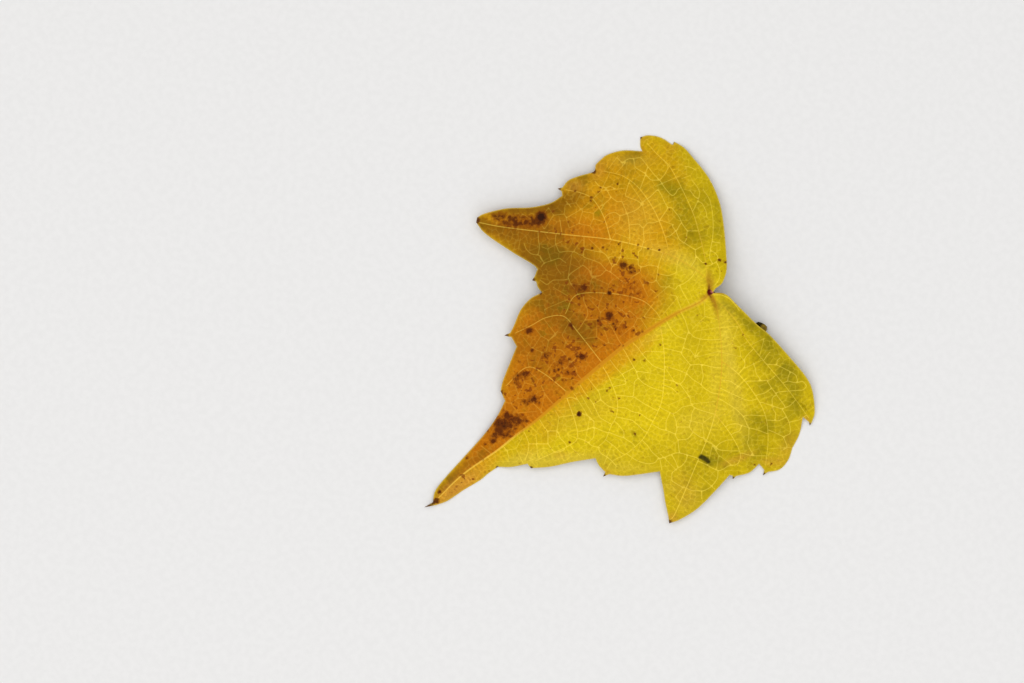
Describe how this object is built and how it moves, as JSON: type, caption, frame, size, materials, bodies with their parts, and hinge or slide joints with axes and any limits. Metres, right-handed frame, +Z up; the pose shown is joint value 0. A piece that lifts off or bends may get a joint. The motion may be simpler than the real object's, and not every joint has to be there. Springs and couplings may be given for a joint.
{
  "type": "maple leaf",
  "caption": "Shed autumn leaf lying face up: a thin waved blade with three main lobes, toothed edge and raised ribs, on a short curved petiole.",
  "frame": {"origin": "centre of the leaf's box, on the surface that it lies on", "axes": "+Y along the midrib from the petiole to the tip of the middle lobe, +Z up, out of the upper face"},
  "size_m": [0.0962, 0.1068, 0.0088],
  "materials": {
    "leaf_skin": "satin autumn leaf, yellow to orange, with pale veins and brown spots"
  },
  "bodies": {
    "root": {"leaf": "leaf_skin"}
  },
  "joints": []
}
